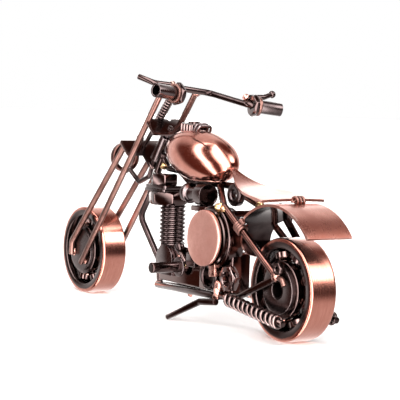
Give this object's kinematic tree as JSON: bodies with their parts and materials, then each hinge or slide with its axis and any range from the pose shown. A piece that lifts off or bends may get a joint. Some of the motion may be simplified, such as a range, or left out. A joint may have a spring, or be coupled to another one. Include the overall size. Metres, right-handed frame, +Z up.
{
  "type": "chopper motorcycle desk ornament",
  "caption": "Chopper motorcycle ornament welded from ball bearings, rods, nuts and springs, with rolling wheels and a fork that steers.",
  "frame": {"origin": "on the ground, midway between the two axles and on the centre line", "axes": "+X forward, +Y to the rider's left, +Z up"},
  "size_m": [0.1487, 0.0498, 0.0759],
  "materials": {
    "brushed_copper": "brushed antique red-copper plating",
    "copper_rod": "satin antique red-copper plating",
    "polished_copper": "polished antique red-copper plating",
    "dark_copper": "dark antique copper plating",
    "black_nickel": "glossy black nickel plating",
    "grey_nickel": "bright grey nickel plating",
    "steel_ball": "polished ball with a thin copper tint"
  },
  "bodies": {
    "frame": {"rear_inner_ring": "black_nickel", "rear_axle": "grey_nickel", "rear_hub_discs": "grey_nickel", "neck_tube": "grey_nickel", "downtube": "black_nickel", "backbone": "black_nickel", "lower_rails": "grey_nickel", "swingarms": "black_nickel", "upper_struts": "dark_copper", "cross_rod": "black_nickel", "fender_stay": "black_nickel", "fender_tie": "copper_rod", "tank_shell": "polished_copper", "filler_cap": "dark_copper", "cap_hoop": "grey_nickel", "seat": "brushed_copper", "rear_fender": "brushed_copper", "tail_coil": "copper_rod", "cylinder_stud": "black_nickel", "lower_head_nut": "black_nickel", "upper_head_nut": "black_nickel", "head_plates": "grey_nickel", "base_plate": "grey_nickel", "crankcase": "black_nickel", "engine_block": "black_nickel", "drum": "black_nickel", "drum_cover": "brushed_copper", "carburettor": "black_nickel", "ring_nut": "grey_nickel", "hex_nut": "black_nickel", "foot_pegs": "black_nickel", "exhaust_rods": "black_nickel", "exhaust_coils": "grey_nickel", "kickstand": "black_nickel"},
    "fork": {"front_inner_ring": "black_nickel", "front_axle": "grey_nickel", "front_hub_discs": "grey_nickel", "long_fork_rods": "copper_rod", "short_fork_rods": "copper_rod", "upper_clamp": "black_nickel", "lower_clamp": "black_nickel", "steering_pin": "grey_nickel", "centre_rod": "grey_nickel", "centre_spring": "grey_nickel", "headlight_ring": "dark_copper", "headlight_bracket": "black_nickel", "headlight_wire": "black_nickel", "clamp_screw": "black_nickel", "handlebar": "black_nickel", "grips": "grey_nickel", "bar_nuts": "black_nickel", "bar_rings": "copper_rod", "lever_left": "copper_rod", "lever_right": "black_nickel"},
    "front_wheel": {"front_outer_ring": "brushed_copper"},
    "front_ball_set": {"front_balls": "steel_ball", "front_cage": "black_nickel"},
    "rear_wheel": {"rear_outer_ring": "brushed_copper"},
    "rear_ball_set": {"rear_balls": "steel_ball", "rear_cage": "black_nickel"}
  },
  "joints": [
    {"name": "steering", "type": "hinge", "parent": "frame", "child": "fork", "pos_m": [0.01539, 0, 0.0526], "axis": [-0.6428, 0, 0.766], "range_deg": [-22, 22]},
    {"name": "front_wheel_spin", "type": "hinge", "parent": "fork", "child": "front_wheel", "pos_m": [0.0585, 0, 0.015], "axis": [0, 1, 0], "continuous": true},
    {"name": "front_balls_spin", "type": "hinge", "parent": "fork", "child": "front_ball_set", "pos_m": [0.0585, 0, 0.015], "axis": [0, 1, 0], "continuous": true},
    {"name": "rear_wheel_spin", "type": "hinge", "parent": "frame", "child": "rear_wheel", "pos_m": [-0.0585, 0, 0.015], "axis": [0, 1, 0], "continuous": true},
    {"name": "rear_balls_spin", "type": "hinge", "parent": "frame", "child": "rear_ball_set", "pos_m": [-0.0585, 0, 0.015], "axis": [0, 1, 0], "continuous": true}
  ],
  "couplings": [
    {"joint": "front_balls_spin", "follows": "front_wheel_spin", "ratio": 0.6161},
    {"joint": "rear_balls_spin", "follows": "rear_wheel_spin", "ratio": 0.6161}
  ]
}
